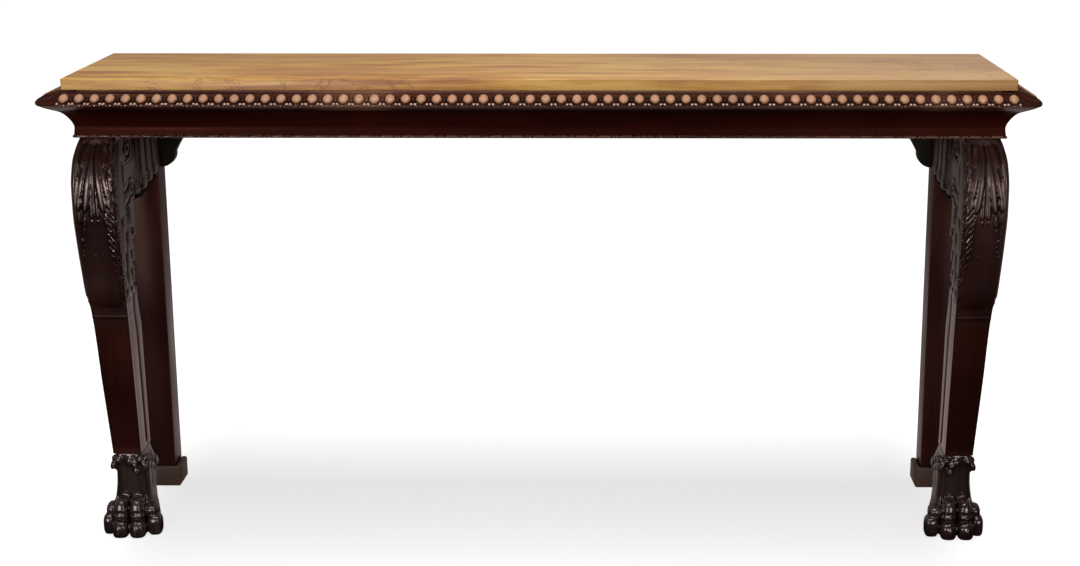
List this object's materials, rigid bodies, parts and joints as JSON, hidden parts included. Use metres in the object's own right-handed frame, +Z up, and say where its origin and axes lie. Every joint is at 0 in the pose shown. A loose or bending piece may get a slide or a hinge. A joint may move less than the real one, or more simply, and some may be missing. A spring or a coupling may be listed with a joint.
{
  "type": "pier table",
  "caption": "Long wall side table: loose marble slab, egg-and-dart edge, hollow frieze, leaf-carved front legs on paw feet, plain square back legs.",
  "frame": {"origin": "on the floor, under the middle of the table's bounding box", "axes": "+X to the viewer's right along the length, +Y from the front to the wall, +Z up"},
  "size_m": [1.86, 0.42, 0.915],
  "materials": {
    "marble": "polished yellow Siena marble with beige streaks and fine violet-brown veins",
    "worn_mahogany": "carved mahogany, polish worn through to tan on the eggs",
    "polished_mahogany": "French-polished mahogany, glossy",
    "carved_mahogany": "carved mahogany, dark old polish, satin to glossy",
    "plain_mahogany": "plain mahogany, dark polish, scuffed at the floor",
    "pine": "unpolished pine, aged",
    "oak": "unpolished oak",
    "iron": "dull hand-cut iron screws"
  },
  "bodies": {
    "root": {"back_bracket_left": "plain_mahogany", "back_bracket_right": "plain_mahogany", "back_leg_left": "plain_mahogany", "back_leg_right": "plain_mahogany", "back_rail": "pine", "bearer_left": "pine", "bearer_middle": "pine", "bearer_right": "pine", "bearer_screws": "iron", "bracket_dowels": "oak", "edge_moulding_front": "worn_mahogany", "edge_moulding_left": "worn_mahogany", "edge_moulding_right": "worn_mahogany", "foot_dowel_left": "oak", "foot_dowel_right": "oak", "frieze_bead_front": "polished_mahogany", "frieze_bead_left": "polished_mahogany", "frieze_bead_right": "polished_mahogany", "frieze_front": "polished_mahogany", "frieze_left": "polished_mahogany", "frieze_right": "polished_mahogany", "front_leg_left": "carved_mahogany", "front_leg_right": "carved_mahogany", "front_rail": "pine", "glue_blocks_back_left": "pine", "glue_blocks_back_right": "pine", "glue_blocks_front_left": "pine", "glue_blocks_front_right": "pine", "knee_wing_left": "carved_mahogany", "knee_wing_right": "carved_mahogany", "marble_top": "marble", "paw_foot_left": "carved_mahogany", "paw_foot_right": "carved_mahogany", "plinth_front_left": "plain_mahogany", "plinth_front_right": "plain_mahogany", "plinth_inner_left": "plain_mahogany", "plinth_inner_right": "plain_mahogany", "plinth_outer_left": "plain_mahogany", "plinth_outer_right": "plain_mahogany", "side_rail_left": "pine", "side_rail_right": "pine", "tenon_pegs": "oak", "wing_dowels": "oak"}
  },
  "joints": []
}
